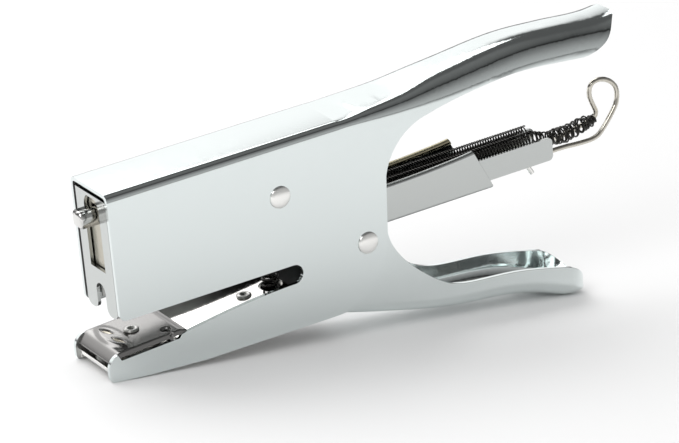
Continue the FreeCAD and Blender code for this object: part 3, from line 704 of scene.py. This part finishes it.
bm = bmesh.new()
bmesh.ops.create_grid(bm, x_segments=118, y_segments=96, size=0.5)
bmesh.ops.scale(bm, vec=(CAP_REAR - CAP_FRONT, 2 * (CAP_HALF + FLANGE), 1), verts=bm.verts)
bmesh.ops.translate(bm, vec=((CAP_REAR + CAP_FRONT) / 2, 0, 0), verts=bm.verts)
for vertex in bm.verts:
    x, y = vertex.co.x, vertex.co.y
    fold = ease((abs(y) - CAP_HALF + 0.4) / (FLANGE + 0.4))
    side = math.copysign(min(abs(y), CAP_HALF + 0.5 * fold), y)
    vertex.co = jaw(x, cap_height(x, side) - FLANGE * fold * ease((x + 87.5) / 1.5), side)
# painted shade: the deep floor faces of the two pockets get the dark blade metal
for face in bm.faces:
    place = JAW_BACK @ face.calc_center_median()
    pocket = abs(place.x - CLINCH_X) < 1.7 and 0.8 < abs(place.y) < 6.9
    if pocket and place.z < cap_height(CLINCH_X + 2.0, place.y) - 0.45:
        face.material_index = 1
anvil = new_object("anvil_cap", bm, ANVIL)
anvil.data.materials.append(BLADE_AND_POCKET_SHADE)
anvil.data.shade_smooth()
thickness = anvil.modifiers.new("sheet", "SOLIDIFY")
thickness.thickness, thickness.offset = CAP_SHEET, -1
settle(anvil, "frame", "anvil_plate")

# %% [markdown]
# Rivets, eyelets and screws are turned parts, so each is half a profile spun once round its axis.
# The profile's points are radius and height in millimetres.

# %% Turned heads
SPIN_STEPS = 40


def turned_head(name, profile, centre, axis, material, body, node):
    """Spins a profile round an axis that starts at a point of the frame."""
    axis = Vector(axis).normalized()
    stand = Matrix.Translation(centre) @ axis.to_track_quat("Z", "Y").to_matrix().to_4x4()
    bm = bmesh.new()
    line = [bm.verts.new((r * MM, 0, h * MM)) for r, h in profile]
    edges = [bm.edges.new(pair) for pair in zip(line, line[1:])]
    bmesh.ops.spin(bm, geom=line + edges, cent=(0, 0, 0), axis=(0, 0, 1), dvec=(0, 0, 0),
                   angle=math.tau, steps=SPIN_STEPS, use_merge=True, use_duplicate=False)
    bmesh.ops.remove_doubles(bm, verts=bm.verts, dist=0.005 * MM)
    bmesh.ops.recalc_face_normals(bm, faces=bm.faces)
    bmesh.ops.transform(bm, matrix=stand, verts=bm.verts)
    piece = new_object(name, bm, material)
    piece.data.shade_smooth()
    return settle(piece, body, *node)


RISE = jaw(0, 1) - jaw(0, 0)
EYELET = ((0.0, -0.2), (0.75, -0.2), (0.95, 0.35), (1.3, 0.52), (1.9, 0.5), (2.25, 0.3),
          (2.3, -0.1), (0.0, -0.3))
turned_head("anvil_eyelet", EYELET, jaw(-75.5, -7.75), RISE, ZINC, "frame", ["anvil_rivet"])
turned_head("base_eyelet", EYELET, jaw(-37.5, -9.05), RISE, ZINC, "frame", ["base_screw"])
ARC = [math.radians(d) for d in range(0, 91, 9)]
BUTTON = [(3.4 * math.sin(a), 0.2 + 0.85 * math.cos(a)) for a in ARC]
BUTTON += [(3.1, 0.05), (3.1, -0.02), (0.0, -0.05)]
PLATE_FACE = 10.8
for node, centre in (("pivot_rivet", (0, 0)), ("front_rivet", (POST_X, POST_Z))):
    for side, word in ((-1, "near"), (1, "far")):
        replaced = [node] if side < 0 else []
        turned_head(f"{node}_{word}", BUTTON, jaw(*centre, side * PLATE_FACE), (0, side, 0),
                    RIVET, "frame", replaced)

# %% [markdown]
# The beak is a small forging: a cross bar between the lever's arms and a round-ended finger
# that pushes the blade. Two blocks with soft edges make it, and the finger's front edges get
# a bevel almost as large as the finger, which turns the block into a thumb shape.

# %% Drive beak
BEAK_HALF, BEAK_LOW, BEAK_HIGH, BEAK_TIP = 2.15, 28.7, 33.5, -89.3
BAR_FRONT, BAR_REAR, BAR_HALF = -76.6, -71.6, 7.7
THUMB = 1.6


def soft_block(bm, low, high, edge, front=0.0):
    """Adds a block between two corners with round edges; front is its front face's radius."""
    size = [b - a for a, b in zip(low, high)]
    centre = Vector([(a + b) / 2 for a, b in zip(low, high)])
    made = bmesh.ops.create_cube(bm, size=1.0)["verts"]
    bmesh.ops.scale(bm, vec=size, verts=made)
    bmesh.ops.translate(bm, vec=centre, verts=made)
    edges = list({e for v in made for e in v.link_edges})
    ahead = [e for e in edges if all(v.co.x < low[0] + 0.01 for v in e.verts)]
    rest = [e for e in edges if e not in ahead]
    for group, radius, segments in ((ahead, front or edge, 7), (rest, edge, 3)):
        group = [e for e in group if e.is_valid]
        bmesh.ops.bevel(bm, geom=group, offset=radius, offset_type="OFFSET", affect="EDGES",
                        segments=segments, profile=0.5, material=-1, clamp_overlap=True)


bm = bmesh.new()
soft_block(bm, (BEAK_TIP, -BEAK_HALF, BEAK_LOW), (BAR_FRONT + 1, BEAK_HALF, BEAK_HIGH), 0.3,
           front=THUMB)
soft_block(bm, (BAR_FRONT, -BAR_HALF, BEAK_LOW), (BAR_REAR, BAR_HALF, BEAK_HIGH), 0.4)
bmesh.ops.transform(bm, matrix=JAW, verts=bm.verts)
beak = new_object("drive_beak_soft", bm, SMOOTH)
even_shading(beak)
settle(beak, "lever", "drive_beak")

# %% [markdown]
# The magazine is a channel whose two top edges are rolled inwards into beads. One outline of
# the sheet is carried along the jaw; towards the rear its walls grow a little and the end is
# cut at a slant. Ahead of the floor only the two walls go on, so the staple can drop out.

# %% Magazine with rolled lips
MAG_HALF, MAG_SHEET, MAG_FLOOR, MAG_TOP, BEAD = 7.4, 0.8, 2.2, 13.4, 0.9
MAG_FRONT, FLOOR_FRONT, MAG_END = -81.2, -77.0, 47.6
SLANT_FOOT, SLANT = 3.4, 5.8
WALL_LIFT = ((12.0, 0.0), (18.0, 0.1), (24.0, 0.3), (29.0, 0.55), (34.0, 0.85), (38.0, 1.15))
END_LIFT = 1.5


def wall_side(side):
    """Outline of one wall from the floor's outside, over the bead, to the floor's inside."""
    bends = (0, 0.4, 0.8, 1.2, math.pi / 2)
    corner = [(MAG_HALF - 1 + math.sin(a), MAG_FLOOR + 1 - math.cos(a)) for a in bends]
    turns = [math.radians(d) for d in range(0, 265, 22)]
    bead = [(MAG_HALF - BEAD + BEAD * math.cos(a), MAG_TOP + BEAD * math.sin(a)) for a in turns]
    inside = MAG_HALF - MAG_SHEET
    inner = [(inside, MAG_TOP - BEAD), (inside, MAG_FLOOR + MAG_SHEET)]
    return [(side * y, z) for y, z in corner + bead + inner]


def carried(bm, outline, stations, slanted):
    """Carries a closed outline along the jaw through stations of x and lift."""
    rings = []
    for x, lift in stations:
        ring = []
        for y, z in outline:
            share = max(0.0, (z - SLANT_FOOT) / (MAG_TOP - SLANT_FOOT))
            cut = SLANT * share if slanted and x == stations[-1][0] else 0.0
            ring.append(bm.verts.new((x - cut, y, z + lift * share)))
        rings.append(ring)
    for one, two in zip(rings, rings[1:]):
        for i in range(len(outline)):
            j = (i + 1) % len(outline)
            bm.faces.new((one[i], one[j], two[j], two[i]))
    bm.faces.new(rings[0])
    bm.faces.new(rings[-1])


bm = bmesh.new()
near_wall, far_wall = wall_side(-1), wall_side(1)
whole = near_wall + far_wall[::-1]
carried(bm, whole, ((FLOOR_FRONT, 0.0), *WALL_LIFT, (MAG_END, END_LIFT)), True)
for wall in (near_wall, far_wall):
    carried(bm, wall[4:], ((MAG_FRONT, 0.0), (FLOOR_FRONT, 0.0)), False)
bmesh.ops.recalc_face_normals(bm, faces=bm.faces)
soften(bm, 0.16, limit=math.radians(50))
# painted reflection: the far bead gets a brass tint that the near bead lacks
for face in bm.faces:
    place = face.calc_center_median()
    if place.y > 5.4 and place.z > 12.7:
        face.material_index = 1
bmesh.ops.transform(bm, matrix=JAW, verts=bm.verts)
channel = new_object("magazine_sheet", bm, NICKEL)
channel.data.materials.append(FAR_LIP_REFLECTION)
even_shading(channel)
settle(channel, "magazine", "magazine_channel")

# %% [markdown]
# The staples are glued side by side into a strip. One staple is a bent flat wire, so its outline
# is a short bar and two legs, and the strip is that staple copied along the rail.

# %% Staples
STRIP_FRONT, STRIP_REAR, STAPLE_PITCH, STAPLE_WIDTH = -81.0, -35.0, 0.52, 0.48
CROWN_TOP, STAPLE_HALF, STAPLE_LEG, WIRE_THICK = 10.0, 6.35, 6.0, 0.45
LEG_END, INSIDE, UNDER = CROWN_TOP - STAPLE_LEG, STAPLE_HALF - WIRE_THICK, CROWN_TOP - WIRE_THICK


def shift_copy(bm, geom, x):
    """Moves the points of an operator's result along the jaw."""
    points = [g for g in geom if isinstance(g, bmesh.types.BMVert)]
    bmesh.ops.translate(bm, vec=(x, 0, 0), verts=points)


bm = bmesh.new()
outline = [(-STAPLE_HALF, LEG_END), (-STAPLE_HALF, CROWN_TOP), (STAPLE_HALF, CROWN_TOP),
           (STAPLE_HALF, LEG_END), (INSIDE, LEG_END), (INSIDE, UNDER), (-INSIDE, UNDER),
           (-INSIDE, LEG_END)]
face = bm.faces.new([bm.verts.new((STRIP_FRONT, y, z)) for y, z in outline])
grown = bmesh.ops.extrude_face_region(bm, geom=[face])["geom"]
shift_copy(bm, grown, STAPLE_WIDTH)
bmesh.ops.recalc_face_normals(bm, faces=bm.faces)
staple = list(bm.verts) + list(bm.edges) + list(bm.faces)
count = int((STRIP_REAR - STRIP_FRONT) / STAPLE_PITCH)
for number in range(1, count):
    copy = bmesh.ops.duplicate(bm, geom=staple)["geom"]
    shift_copy(bm, copy, number * STAPLE_PITCH)
bmesh.ops.transform(bm, matrix=JAW, verts=bm.verts)
settle(new_object("staples", bm, STAPLES), "magazine", "staple_strip")

# %% [markdown]
# The last cell prints that the scene is built.

# %% Finish
print("scene built")
